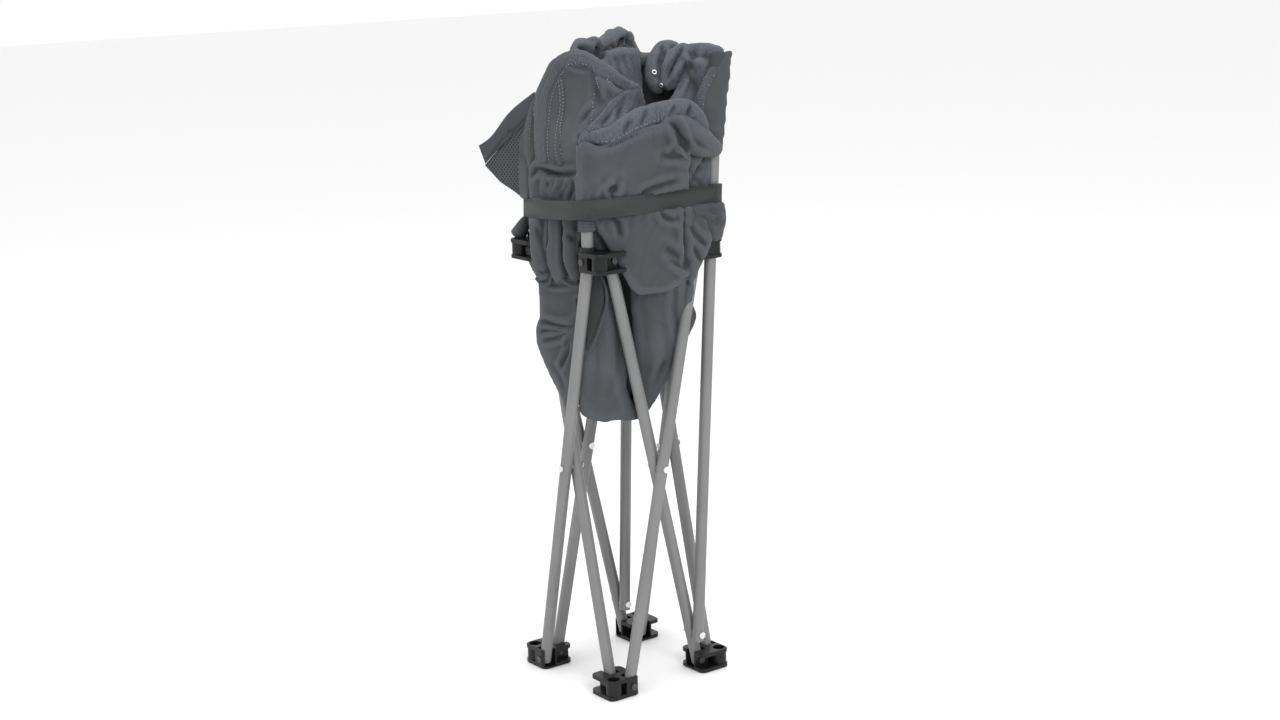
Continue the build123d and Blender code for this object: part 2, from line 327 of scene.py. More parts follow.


# ------------------------------------------------------------------ materials
# painted light: valleys are darkened as painted shade, ridges are paled for wear and as a painted highlight
FOLD_SHADING_AND_WEAR_TONE = 0.55  # how much paler a ridge and darker a valley is


def material(name):
    m = bpy.data.materials.new(name)
    m.use_nodes = True
    tree = m.node_tree
    return m, tree, tree.nodes["Principled BSDF"]


def node(tree, kind, **inputs):
    n = tree.nodes.new(kind)
    for key, value in inputs.items():
        n.inputs[key].default_value = value
    return n


def ramp(tree, low, high, low_at=0.0, high_at=1.0):
    n = tree.nodes.new("ShaderNodeValToRGB")
    n.color_ramp.elements[0].position = low_at
    n.color_ramp.elements[0].color = (*low, 1)
    n.color_ramp.elements[1].position = high_at
    n.color_ramp.elements[1].color = (*high, 1)
    return n


def bump(tree, shader, height, strength, distance):
    b = node(tree, "ShaderNodeBump", Strength=strength, Distance=distance)
    tree.links.new(height, b.inputs["Height"])
    tree.links.new(b.outputs["Normal"], shader.inputs["Normal"])


def speckle(tree, pos, spread, **noise):
    """A colour that wanders between two tones; spread is (low, high, low's place, high's place)."""
    n = node(tree, "ShaderNodeTexNoise", **noise)
    tree.links.new(pos.outputs["Object"], n.inputs["Vector"])
    r = ramp(tree, *spread)
    tree.links.new(n.outputs["Fac"], r.inputs["Fac"])
    return r.outputs["Color"]


def grain(tree, shader, pos, scale, strength, distance):
    """Fine surface roughness."""
    n = node(tree, "ShaderNodeTexNoise", Scale=scale, Detail=2.0)
    tree.links.new(pos.outputs["Object"], n.inputs["Vector"])
    bump(tree, shader, n.outputs["Fac"], strength, distance)


def maths(tree, kind, *values):
    n = tree.nodes.new("ShaderNodeMath")
    n.operation = kind
    for k, value in enumerate(values):
        if isinstance(value, float):
            n.inputs[k].default_value = value
        else:
            tree.links.new(value, n.inputs[k])
    return n.outputs[0]


def powder_coat():
    m, t, s = material("powder_coat_grey")
    pos = t.nodes.new("ShaderNodeTexCoord")
    tone = speckle(t, pos, ((0.165, 0.166, 0.167), (0.2, 0.201, 0.202), 0.3, 0.7), Scale=9.0, Detail=3.0)
    t.links.new(tone, s.inputs["Base Color"])
    s.inputs["Metallic"].default_value = 0.25
    s.inputs["Roughness"].default_value = 0.42
    grain(t, s, pos, 1600.0, 0.12, 0.0004)
    return m


def moulded():
    m, t, s = material("moulded_plastic")
    pos = t.nodes.new("ShaderNodeTexCoord")
    tone = speckle(t, pos, ((0.006, 0.0065, 0.007), (0.012, 0.0125, 0.013), 0.3, 0.75), Scale=30.0, Detail=4.0)
    t.links.new(tone, s.inputs["Base Color"])
    s.inputs["Specular IOR Level"].default_value = 0.25
    s.inputs["Roughness"].default_value = 0.32
    grain(t, s, pos, 900.0, 0.1, 0.0004)
    return m


def plated(name, low, high, metallic, rough):
    m, t, s = material(name)
    pos = t.nodes.new("ShaderNodeTexCoord")
    tone = speckle(t, pos, (low, high, 0.3, 0.7), Scale=300.0, Detail=3.0)
    t.links.new(tone, s.inputs["Base Color"])
    s.inputs["Metallic"].default_value = metallic
    s.inputs["Roughness"].default_value = rough
    return m


def woven(name, low, high, heather=0.0, thread=1150.0, rough=0.86, bump_strength=0.35):
    """Woven cloth: fine crossed threads, soft tone changes and, if asked, paler heathered slubs."""
    m, t, s = material(name)
    pos = t.nodes.new("ShaderNodeTexCoord")
    colour = speckle(t, pos, (low, high, 0.28, 0.78), Scale=14.0, Detail=5.0, Roughness=0.6)
    if heather:
        stretch = t.nodes.new("ShaderNodeMapping")
        stretch.inputs["Scale"].default_value = (900.0, 900.0, 130.0)
        t.links.new(pos.outputs["Object"], stretch.inputs["Vector"])
        slub = node(t, "ShaderNodeTexNoise", Scale=1.0, Detail=2.0)
        t.links.new(stretch.outputs["Vector"], slub.inputs["Vector"])
        pale = ramp(t, (0, 0, 0), (1, 1, 1), 0.46, 0.72)
        t.links.new(slub.outputs["Fac"], pale.inputs["Fac"])
        mix = t.nodes.new("ShaderNodeMix")
        mix.data_type = "RGBA"
        mix.inputs[7].default_value = (*[min(1, c * 1.75 + 0.01) for c in high], 1)
        t.links.new(maths(t, "MULTIPLY", pale.outputs["Color"], heather), mix.inputs[0])
        t.links.new(colour, mix.inputs[6])
        colour = mix.outputs[2]
    # painted shade in the creases and a paler tone on ridges (wear and painted highlight), from the stored fold
    # values
    fold_shading_and_wear = t.nodes.new("ShaderNodeAttribute")
    fold_shading_and_wear.attribute_name = "fold_shading_and_wear"
    shade = t.nodes.new("ShaderNodeHueSaturation")
    t.links.new(maths(t, "MULTIPLY_ADD", fold_shading_and_wear.outputs["Fac"], FOLD_SHADING_AND_WEAR_TONE, 1.0), shade.inputs["Value"])
    t.links.new(colour, shade.inputs["Color"])
    t.links.new(shade.outputs["Color"], s.inputs["Base Color"])
    s.inputs["Roughness"].default_value = rough
    s.inputs["Sheen Weight"].default_value = 0.08
    s.inputs["Sheen Roughness"].default_value = 0.5
    waves = []
    for axis in ("X", "Z"):
        w = node(t, "ShaderNodeTexWave", Scale=thread / 6.0, Distortion=0.6, Detail=1.0)
        w.bands_direction = axis
        t.links.new(pos.outputs["Object"], w.inputs["Vector"])
        waves.append(w)
    both = maths(t, "MAXIMUM", waves[0].outputs["Fac"], waves[1].outputs["Fac"])
    bump(t, s, both, bump_strength, 0.0004)
    return m


def netting():
    """Knitted mesh: rows of small dark holes in grey thread."""
    m, t, s = material("mesh_knit")
    pos = t.nodes.new("ShaderNodeTexCoord")
    turn = t.nodes.new("ShaderNodeMapping")
    turn.inputs["Rotation"].default_value = (0, 0, -VIEW_TURN)
    t.links.new(pos.outputs["Object"], turn.inputs["Vector"])
    waves = []
    for lean in (0.6, -0.6):
        tilt = t.nodes.new("ShaderNodeMapping")
        tilt.inputs["Rotation"].default_value = (0, lean, 0)
        t.links.new(turn.outputs["Vector"], tilt.inputs["Vector"])
        w = node(t, "ShaderNodeTexWave", Scale=85.0, Distortion=0.0)
        t.links.new(tilt.outputs["Vector"], w.inputs["Vector"])
        waves.append(w)
    both = maths(t, "MULTIPLY", waves[0].outputs["Fac"], waves[1].outputs["Fac"])
    r = ramp(t, (0.05, 0.054, 0.058), (0.008, 0.009, 0.01), 0.22, 0.5)
    t.links.new(both, r.inputs["Fac"])
    t.links.new(r.outputs["Color"], s.inputs["Base Color"])
    s.inputs["Roughness"].default_value = 0.8
    bump(t, s, both, 0.5, 0.0006)
    return m


POWDER, PLASTIC = powder_coat(), moulded()
METAL = plated("plated_rivet", (0.6, 0.6, 0.59), (0.78, 0.78, 0.77), 0.85, 0.28)
CLOTH = woven("cloth_slate", (0.036, 0.0395, 0.0445), (0.046, 0.0505, 0.057))
HEATHER = woven("cloth_heathered", (0.036, 0.0415, 0.0495), (0.047, 0.0535, 0.0635), heather=0.6, thread=800.0)
DARK = woven("cloth_lining", (0.02, 0.022, 0.023), (0.028, 0.03, 0.031))
WEBBING = woven("webbing_dark", (0.013, 0.016, 0.016), (0.018, 0.0215, 0.021),
    thread=700.0, rough=0.7, bump_strength=0.6)
THREAD = woven("thread_pale", (0.15, 0.165, 0.185), (0.2, 0.215, 0.235), thread=2400.0)
NET = netting()
SCREW = plated("blackened_pin", (0.05, 0.05, 0.05), (0.09, 0.09, 0.09), 0.6, 0.35)

for name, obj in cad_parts.items():
    if name.startswith(("mid_rivet", "post_rivet")):
        chosen = METAL
    elif name.startswith(("foot_pins", "hub_pins")):
        chosen = SCREW
    elif name.startswith(("foot_", "hub_")):
        chosen = PLASTIC
    elif name.startswith(("tube_", "back_post", "arm_post")):
        chosen = POWDER
    elif name == "strap":
        chosen = WEBBING
    elif name == "mesh_pocket":
        chosen = DARK
    else:
        chosen = CLOTH
    obj.data.materials.clear()
    obj.data.materials.append(chosen)


# ------------------------------------------------------------------ how cloth bodies move
FLOW = {
    "seat_front": ("seat_front_right_edge", "seat_front_left_edge", (0.055, 0, 0.46), (-0.055, 0, 0.46)),
    "seat_back": ("seat_back_right_edge", "seat_back_left_edge", (0.055, 0, 0.46), (-0.055, 0, 0.46)),
    "backrest": ("post_right", "backrest_left_edge", (0.07, 0, 0.7), (-0.07, 0, 0.7)),
    "armrest_right": ("hub_front_right", "armrest_right_rear_end", (0, -0.06, 0.7), (0, 0.08, 0.7)),
    "armrest_left": ("hub_front_left", "armrest_left_rear_end", (0, -0.06, 0.7), (0, 0.06, 0.7)),
}
GATHER = {
    "left_bundle": ("hub_front_left", (1, 0, 0), (-0.1, 0, 0.7), 0.35),
    "strap_loop": ("post_right", (0, 1, 0), (0, 0.125, 0.65), 0.15),
}
PIECES = []


def dress(obj, flow, surface, slot_name="cloth"):
    """Gives a finished cloth body its material and notes how it moves."""
    obj.data.materials.clear()
    obj.data.materials.append(surface)
    # large bodies get stored fold values, for painted shade in their valleys and paler ridges
    if len(obj.data.vertices) > 6000:
        note_fold_shading_and_wear(obj)
    PIECES.append((obj, flow, slot_name))
    return obj


def settle(obj, flow):
    """Hands a finished body to the frame: its transform baked in place for a blended flow, otherwise parented to
    the one body it rides.
    """
    if flow in FLOW:
        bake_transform(obj)
    elif flow in GATHER:
        body, axis, anchor, keep = GATHER[flow]
        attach(obj, body)
        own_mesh(obj)
    else:
        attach(obj, flow)


def note_fold_shading_and_wear(obj, rounds=14, full=0.9):
    """Stores how far each point stands out of its surroundings: the cloth materials paint shade into the valleys
    and make the ridges paler, for wear and as a painted highlight.
    """
    mesh = obj.data
    co, no = coords(obj), normals(obj)
    pairs = np.empty(len(mesh.edges) * 2, int)
    mesh.edges.foreach_get("vertices", pairs)
    a, b = pairs.reshape(-1, 2).T
    count = np.maximum(np.bincount(a, minlength=len(co)) + np.bincount(b, minlength=len(co)), 1)
    soft = co.copy()
    for _ in range(rounds):
        total = np.zeros_like(soft)
        for k in range(3):
            total[:, k] = np.bincount(a, soft[b, k], len(co)) + np.bincount(b, soft[a, k], len(co))
        soft = total / count[:, None]
    stand = ((co - soft) * no).sum(1) / full
    # values the cloth materials read for painted shade in valleys and paler ridges
    layer = mesh.attributes.new("fold_shading_and_wear", "FLOAT", "POINT")
    layer.data.foreach_set("value", np.clip(stand, -1, 0.6).astype(np.float32))


def surface_of(objs):
    """One search tree over several finished bodies."""
    verts, faces, base = [], [], 0
    for o in objs:
        verts += [tuple(v.co) for v in o.data.vertices]
        faces += [tuple(i + base for i in f.vertices) for f in o.data.polygons]
        base = len(verts)
    return BVHTree.FromPolygons(verts, faces)


def snapped(tree, points, lift):
    """The points moved to the surface and lifted off it, with the surface normals."""
    out, normal = [], []
    for p in points:
        hit, n, _, _ = tree.find_nearest(Vector(p) * MM)
        out.append(np.array(hit) / MM + np.array(n) * lift)
        normal.append(np.array(n))
    return np.array(out), np.array(normal)


def tape(name, hosts, path, width, lift=1.2, thick=1.6, count=90, across=7, gather=0.0):
    """A binding tape sewn along a path over the hosts' surface."""
    tree = surface_of(hosts)
    line, n = snapped(tree, catmull(path, count), 0)
    line = catmull(line[:: max(1, count // 22)], count)
    tangent = np.gradient(line, axis=0)
    tangent /= np.maximum(np.linalg.norm(tangent, axis=1, keepdims=True), 1e-9)
    n = n + np.array([*TOWARDS, 0.0])
    side = np.cross(n, tangent)
    side /= np.maximum(np.linalg.norm(side, axis=1, keepdims=True), 1e-9)
    run = np.arange(count)
    rows, under = [], []
    for k in range(across):
        s = (k / (across - 1) - 0.5) * width
        pts, m = snapped(tree, line + side * s, 0)
        ripple = gather * np.sin(run * 1.7 + 0.4 * k) * (0.4 + 0.6 * np.sin(run * 0.31) ** 2)
        raise_by = lift + thick * (1 - (2 * k / (across - 1) - 1) ** 4) + ripple
        rows.append(pts + m * raise_by[:, None])
        under.append(pts - m * 1.0)
    top = np.array(rows).transpose(1, 0, 2)
    low = np.array(under).transpose(1, 0, 2)
    verts = np.concatenate([top.reshape(-1, 3), low.reshape(-1, 3)])
    size = count * across
    upper = grid_faces(count, across, False)
    faces = upper + [tuple(i + size for i in f[::-1]) for f in upper]
    for k in range(count - 1):
        for edge in (0, across - 1):
            a, b = k * across + edge, (k + 1) * across + edge
            faces.append((a, b, b + size, a + size) if edge else (b, a, a + size, b + size))
    for k in range(across - 1):
        for row in (0, (count - 1) * across):
            a, b = row + k, row + k + 1
            faces.append((a, b, b + size, a + size) if row == 0 else (b, a, a + size, b + size))
    return mesh_object(name, verts, faces)


def stitches(name, hosts, path, pitch=4.6, length=3.2, wide=1.4, lift=0.6):
    """A row of stitches along a path over the hosts' surface."""
    tree = surface_of(hosts)
    line = catmull(path, 300)
    step = np.linalg.norm(np.diff(line, axis=0), axis=1)
    far = np.concatenate([[0], np.cumsum(step)])
    marks = np.arange(pitch, far[-1] - pitch, pitch)
    mids = np.stack([np.interp(marks, far, line[:, k]) for k in range(3)], 1)
    heads = np.stack([np.interp(marks + 0.5, far, line[:, k]) for k in range(3)], 1)
    mids, n = snapped(tree, mids, lift)
    heads, _ = snapped(tree, heads, lift)
    verts, faces = [], []
    for m, h, k in zip(mids, heads, n):
        run = h - m
        size = np.linalg.norm(run)
        if size < 1e-6:
            continue
        run /= size
        side = np.cross(k, run)
        base = len(verts)
        for along, cross, up in ((-1, 0, 0), (-0.5, -1, 0), (-0.5, 1, 0), (-0.5, 0, 1), (0.5, -1, 0),
                                 (0.5, 1, 0), (0.5, 0, 1), (1, 0, 0)):
            verts.append(m + run * along * length / 2 + side * cross * wide / 2 + k * up * wide * 0.5)
        faces += [tuple(base + i for i in f) for f in
                  ((0, 1, 3), (0, 3, 2), (1, 4, 6, 3), (3, 6, 5, 2), (4, 7, 6), (6, 7, 5), (0, 2, 1), (4, 5, 7),
                   (1, 2, 5, 4))]
    return mesh_object(name, verts, faces)


def plate_fit(knots):
    """A thin-plate surface through (u, d, z) knots: a function giving d over (u, z)."""
    k = np.asarray(knots, float)
    pts = k[:, [0, 2]] / 50
    n = len(k)

    def kernel(r):
        return np.where(r > 1e-9, r**2 * np.log(np.maximum(r, 1e-9)), 0)

    m = np.zeros((n + 3, n + 3))
    m[:n, :n] = kernel(np.linalg.norm(pts[:, None] - pts[None], axis=2)) + np.eye(n) * 0.02
    m[:n, n:] = np.column_stack([np.ones(n), pts])
    m[n:, :n] = m[:n, n:].T
    weights = np.linalg.solve(m, np.concatenate([k[:, 1], np.zeros(3)]))

    def depth(u, z):
        q = np.column_stack([u, z]) / 50
        r = np.linalg.norm(q[:, None] - pts[None], axis=2)
        return kernel(r) @ weights[:n] + np.column_stack([np.ones(len(q)), q]) @ weights[n:]

    return depth


def panel(outline, front=8.0, back=12.0, edge=9.0, inner=(), step=2.2, smooth=8):
    """A stuffed panel facing the viewpoint from its outline in (u, d, z): front and back are its depths either
    way, rounded off over edge at its rim; inner gives more points that it passes through."""
    depth = plate_fit(list(outline) + list(inner))
    loop = catmull(outline, smooth * len(outline), True)[:, [0, 2]]
    low, high = loop.min(0), loop.max(0)
    us = np.arange(low[0], high[0] + step, step)
    zs = np.arange(low[1], high[1] + step, step)
    uu, zz = np.meshgrid(us, zs)
    p = np.column_stack([uu.ravel(), zz.ravel()])
    a, b = loop, np.roll(loop, -1, 0)
    crossing = (a[None, :, 1] > p[:, None, 1]) != (b[None, :, 1] > p[:, None, 1])
    slope = (b[:, 0] - a[:, 0]) / np.where(np.abs(b[:, 1] - a[:, 1]) < 1e-9, 1e-9, b[:, 1] - a[:, 1])
    reach = a[None, :, 0] + (p[:, None, 1] - a[None, :, 1]) * slope[None]
    inside = (crossing & (p[:, None, 0] < reach)).sum(1) % 2 == 1
    ab = b - a
    t = np.clip(((p[:, None] - a[None]) * ab[None]).sum(2) / np.maximum((ab**2).sum(1), 1e-9)[None], 0, 1)
    off = np.linalg.norm(p[:, None] - a[None] - t[:, :, None] * ab[None], axis=2).min(1)
    rise = np.sqrt(1 - (1 - np.clip(off / edge, 0.06, 1)) ** 2)
    rise = rise * (0.82 + 0.18 * np.clip(off / (3 * edge), 0, 1))
    d = depth(p[:, 0], p[:, 1])
    rows, cols = len(zs), len(us)
    cell = inside.reshape(rows, cols)
    keep = cell[:-1, :-1] & cell[1:, :-1] & cell[:-1, 1:] & cell[1:, 1:]
    faces, count = [], rows * cols
    for r, c in np.argwhere(keep):
        i = r * cols + c
        quad = (i, i + 1, i + cols + 1, i + cols)
        faces.append(quad)
        faces.append(tuple(v + count for v in quad[::-1]))
        for dr, dc, e in ((-1, 0, (i, i + 1)), (1, 0, (i + cols + 1, i + cols)),
                          (0, -1, (i + cols, i)), (0, 1, (i + 1, i + cols + 1))):
            rr, cc = r + dr, c + dc
            if not (0 <= rr < rows - 1 and 0 <= cc < cols - 1 and keep[rr, cc]):
                faces.append((e[1], e[0], e[0] + count, e[1] + count))
    near = [at(u, k + front * h, z) for (u, z), k, h in zip(p, d, rise)]
    far = [at(u, k - back * h, z) for (u, z), k, h in zip(p, d, rise)]
    used = sorted({i for f in faces for i in f})
    index = {v: k for k, v in enumerate(used)}
    verts = np.array(near + far)[used]
    return verts, [tuple(index[i] for i in f) for f in faces]


def seen_roll(path, widths, thick=None):
    return roll([at(*p) for p in path], widths, thick)


def seen_path(path):
    return [at(*p) for p in path]


def creases(obj, rows):
    """Cuts creases given as (path in (u, d, z), depth, width)."""
    for path, depth, width in rows:
        crease(obj, seen_path(path), depth, width)


# ------------------------------------------------------------------ right armrest and side panel
flap = panel([(-47, 110, 660), (-48, 110, 712), (-46, 112, 742), (-34, 118, 752), (-16, 119, 746),
    (-2, 114, 750), (39, 99, 765), (66, 85, 769), (80, 78, 765), (88, 70, 746), (99, 62, 731), (99, 62, 705),
    (97, 60, 660), (48, 84, 656), (-4, 110, 656)], 9, 16, 11, [(-22, 118, 700), (20, 108, 712),
    (60, 84, 712)])
side = panel([(-34, 108, 664), (-31, 108, 650), (-5, 105, 602), (21, 97, 551), (44, 86, 544), (66, 74, 544),
    (84, 66, 552), (100, 58, 562), (98, 60, 590), (97, 62, 620), (96, 60, 664), (60, 82, 666),
    (10, 104, 666)], 8, 14, 11, [(30, 97, 610), (60, 80, 600), (84, 68, 590)])
corner = panel([(92, 56, 664), (108, 46, 660), (122, 36, 644), (130, 32, 622), (131, 33, 606), (126, 38, 592),
    (114, 48, 572), (104, 54, 552), (97, 58, 548), (92, 60, 590), (92, 58, 630)], 8, 12, 8)
under = panel([(96, 50, 722), (118, 36, 718), (121, 28, 690), (120, 26, 655), (98, 44, 655), (92, 54, 690)],
    3, 14, 8)
swoosh = seen_roll([(64, 80, 762), (84, 68, 760), (102, 54, 748), (120, 42, 736), (139, 27, 724)],
    [24, 38, 42, 36, 20], [20, 30, 34, 30, 20])
bulk = column([(590, [(62, -66), (78, -40), (80, 20), (66, 24), (24, -20), (36, -56)]),
               (660, [(66, -92), (84, -50), (88, 20), (84, 80), (64, 82), (54, 0), (52, -80)]),
               (748, [(64, -88), (82, -50), (86, 20), (84, 76), (62, 78), (54, 0), (52, -78)])])
inside = panel([(-56, 44, 664), (-14, 60, 664), (-6, 62, 630), (-12, 56, 594), (-52, 44, 594)], 3, 16, 6)
right_arm = joined("armrest_right_cloth", [flap, side, corner, under, swoosh, bulk, inside])
cinch(right_arm)
wrinkle(right_arm, 0.9, (70, 70, 70), 3, 0.1, 0.9)
creases(right_arm, (
    ([(76, 90, 772), (84, 84, 762), (92, 76, 742), (104, 66, 724), (122, 48, 712)], 11, 4.5),
    ([(66, 92, 726), (86, 80, 724), (104, 68, 716), (120, 48, 708)], 6, 4),
    ([(92, 78, 742), (84, 84, 734), (78, 84, 722)], 4, 4),
    ([(98, 74, 745), (112, 58, 738), (130, 42, 728)], 4, 5),
    ([(-2, 122, 676), (0, 120, 690), (6, 117, 702)], 6, 4),
    ([(-14, 122, 678), (-8, 122, 688), (6, 119, 690)], 4, 3.5),
    ([(36, 104, 678), (52, 96, 685), (84, 78, 691)], 5, 4),
    ([(62, 90, 656), (68, 88, 646), (84, 78, 640)], 5, 3.5),
    ([(84, 80, 656), (88, 78, 640), (96, 70, 628)], 4, 3.5),
    ([(0, 114, 652), (6, 112, 640), (8, 112, 626)], 5, 3.5),
    ([(96, 68, 658), (94, 68, 610), (96, 66, 572)], 8, 4),
    ([(66, 86, 606), (86, 74, 588), (98, 66, 576)], 4, 5),
    ([(70, 84, 590), (86, 74, 578), (96, 68, 574)], 3, 4),
    ([(21, 106, 551), (50, 94, 544), (70, 82, 545), (94, 66, 558), (104, 60, 572)], 4, 3),
    ([(100, 62, 630), (110, 58, 616), (122, 46, 600)], 5, 4),
    ([(104, 60, 600), (112, 56, 586), (118, 50, 578)], 4, 4),
    ([(122, 30, 712), (112, 40, 700), (104, 48, 684)], 5, 4),
    ([(104, 54, 706), (110, 48, 692), (118, 38, 682)], 5, 4),
    ([(-12, 123, 744), (0, 121, 746), (39, 107, 760), (66, 94, 764)], 3, 2.6),
))
pucker(right_arm, seen_path([(-46, 116, 678), (-4, 118, 678), (48, 92, 678), (96, 68, 680)]), 0.55, 13, 10, 4)
pucker(right_arm, seen_path([(-32, 114, 650), (10, 110, 650), (60, 88, 652), (96, 66, 654)]), 0.7, 15, 14, 7)
pucker(right_arm, seen_path([(21, 104, 552), (50, 94, 546), (70, 82, 547), (96, 66, 560)]), 0.35, 9, 10, 9)
pucker(right_arm, seen_path([(-16, 123, 744), (0, 121, 746), (39, 107, 760), (66, 94, 764)]), 0.6, 8, 8, 2)

collar = joined("armrest_right_collar", [seen_roll([(-38, 108, 746), (-27, 113, 757), (-4, 113, 757),
    (14, 107, 765), (40, 94, 776), (66, 78, 782), (98, 60, 782), (116, 48, 764), (122, 42, 748)],
    [14, 22, 25, 27, 28, 28, 27, 22, 12], [10, 14, 14, 14, 14, 14, 14, 14, 10]), panel([(-40, 106, 755),
    (-15, 88, 782), (-1, 80, 798), (16, 70, 810), (36, 58, 817), (44, 46, 803), (47, 40, 777), (34, 82, 768),
    (14, 96, 762), (-5, 108, 754)], 5, 10, 7, [(12, 82, 785)])], 2.0, 2)
wrinkle(collar, 1.0, (30, 30, 30), 11, 0.14, 0.8)
creases(collar, (
    ([(-30, 118, 766), (-8, 112, 769), (20, 100, 778), (42, 78, 786)], 6, 3),
    ([(38, 106, 766), (44, 96, 782), (46, 86, 792)], 3.5, 3),
    ([(16, 116, 758), (22, 108, 772), (26, 98, 784)], 3, 3),
    ([(76, 86, 772), (84, 76, 790)], 4, 3),
    ([(98, 72, 768), (104, 62, 790)], 5, 3),
    ([(4, 92, 772), (14, 86, 790), (24, 76, 808)], 3, 3),
    ([(20, 92, 772), (32, 76, 788), (40, 62, 806)], 3, 3),
    ([(-20, 106, 768), (-6, 98, 778), (6, 92, 790)], 3, 3),
))
pucker(collar, seen_path([(-20, 120, 749), (-4, 120, 749), (14, 114, 756), (40, 102, 767), (66, 88, 772),
    (96, 70, 772)]), 0.9, 7, 9, 12)

# ------------------------------------------------------------------ left front panel and its folds
band_panel = panel([(-101, 28, 717), (-101, 18, 763), (-99, 8, 804), (-92, 8, 821), (-82, 18, 841),
    (-70, 28, 853), (-46, 34, 862), (-25, 46, 855), (-13, 54, 843), (-7, 62, 817), (-1, 74, 793),
    (-15, 84, 775), (-25, 90, 763), (-38, 98, 750), (-43, 88, 716), (-58, 66, 709), (-71, 52, 707),
    (-85, 40, 709)], 5, 16, 6, [(-60, 52, 780), (-40, 66, 790)])
tip = panel([(-50, 30, 861), (-28, 42, 860), (-12, 50, 850), (3, 58, 841), (20, 62, 826), (38, 58, 817),
    (38, 60, 811), (20, 68, 807), (8, 72, 799), (-2, 76, 790), (-16, 66, 806), (-24, 52, 836)], 6, 12, 6)
second = panel([(-96, 4, 808), (-110, -5, 782), (-119, -5, 745), (-117, -3, 721), (-107, 12, 692),
    (-96, 24, 700), (-92, 16, 740), (-88, 8, 790)], 5, 14, 7)
puckers = panel([(-103, 28, 718), (-113, 8, 690), (-110, 12, 655), (-80, 45, 650), (-46, 92, 650),
    (-42, 94, 700), (-46, 88, 722), (-75, 50, 722)], 3, 16, 8)
left_front = joined("front_left_panel", [band_panel, tip, second, puckers], 2.2, 3)
cinch(left_front)
wrinkle(left_front, 0.8, (60, 60, 90), 21, 0.1, 0.9)
creases(left_front, (
    ([(-103, 34, 718), (-104, 28, 763), (-102, 14, 800)], 8, 3),
    ([(-110, 12, 694), (-100, 34, 706), (-84, 46, 703), (-66, 62, 702), (-46, 92, 708)], 10, 3.5),
    ([(-98, 40, 702), (-96, 42, 690), (-98, 38, 668)], 9, 3.5),
    ([(-80, 56, 700), (-82, 56, 686), (-90, 48, 670)], 9, 3.5),
    ([(-66, 70, 702), (-70, 68, 690), (-84, 54, 672)], 6, 3),
    ([(-56, 84, 700), (-54, 86, 686), (-60, 78, 672)], 7, 3.5),
    ([(-10, 66, 838), (-4, 80, 820), (0, 84, 800)], 10, 5),
    ([(0, 72, 832), (10, 76, 820), (22, 74, 812)], 8, 4.5),
    ([(-22, 60, 836), (-26, 76, 812), (-30, 84, 788), (-28, 92, 770)], 4, 3.5),
    ([(-38, 84, 774), (-30, 84, 786), (-18, 82, 798)], 5, 3.5),
    ([(-30, 92, 770), (-22, 92, 780), (-12, 88, 784)], 4, 3),
    ([(-44, 96, 756), (-36, 96, 752), (-30, 94, 762)], 7, 3),
    ([(-64, 46, 846), (-52, 48, 842), (-30, 56, 838)], 4, 2.6),
))
pucker(left_front, seen_path([(-100, 38, 672), (-80, 52, 672), (-46, 96, 674)]), 0.6, 16, 14, 3)

folds = joined("front_left_folds", [panel([(-111, 14, 664), (-112, 18, 610), (-108, 22, 575), (-102, 30, 551),
    (-76, 48, 556), (-51, 68, 562), (-46, 76, 600), (-44, 80, 664)], 1, 15, 8), seen_roll([(-100, 26, 662),
    (-101, 26, 620), (-99, 27, 585), (-93, 34, 560)], [24, 25, 26, 22], [18, 20, 22, 18]),
    seen_roll([(-78, 48, 662), (-77, 50, 620), (-78, 50, 585), (-72, 55, 562)], [20, 20, 22, 18],
    [18, 20, 22, 16]), seen_roll([(-56, 68, 662), (-57, 68, 620), (-57, 68, 590), (-50, 72, 566)],
    [22, 22, 22, 16], [18, 20, 20, 16])], 2.2, 3)
cinch(folds)
wrinkle(folds, 1.0, (40, 40, 90), 31, 0.16, 0.9)
creases(folds, (
    ([(-88, 46, 655), (-88, 48, 620), (-89, 46, 590), (-84, 50, 560)], 11, 4),
    ([(-67, 64, 655), (-67, 66, 620), (-68, 66, 590), (-62, 68, 566)], 11, 4),
    ([(-104, 34, 630), (-98, 42, 606), (-92, 44, 588)], 4, 3.5),
    ([(-60, 74, 640), (-64, 72, 628), (-52, 80, 616)], 4, 3.5),
    ([(-92, 44, 610), (-84, 52, 596)], 3, 3),
    ([(-108, 30, 575), (-98, 40, 568), (-90, 42, 572)], 3, 3),
))

left_arm = joined("armrest_left_cloth", [
    column([(600, [(-74, -60), (-78, 0), (-80, 40), (-96, 40), (-98, 0), (-96, -56)]),
            (660, [(-66, -84), (-70, 0), (-66, 84), (-98, 88), (-104, 10), (-103, -76)]),
            (740, [(-64, -82), (-68, 0), (-64, 84), (-96, 92), (-106, 10), (-104, -78)]),
            (800, [(-72, -58), (-70, 0), (-68, 60), (-84, 66), (-94, 10), (-92, -56)])]),
    seen_roll([(-112, -22, 652), (-122, -30, 640), (-128, -32, 624), (-128, -32, 610)], [18, 28, 28, 20])])
cinch(left_arm)
wrinkle(left_arm, 2.6, (60, 38, 110), 41, 0.2, 0.8, 0.8)
for path in ([(-106, -60, 800), (-108, -52, 730), (-108, -50, 670)],
             [(-106, -10, 810), (-110, -4, 740), (-106, -8, 650)],
             [(-100, 44, 790), (-108, 40, 730), (-104, 46, 660)],
             [(-98, 20, 660), (-98, 14, 630), (-96, 16, 606)]):
    crease(left_arm, path, 8, 5)

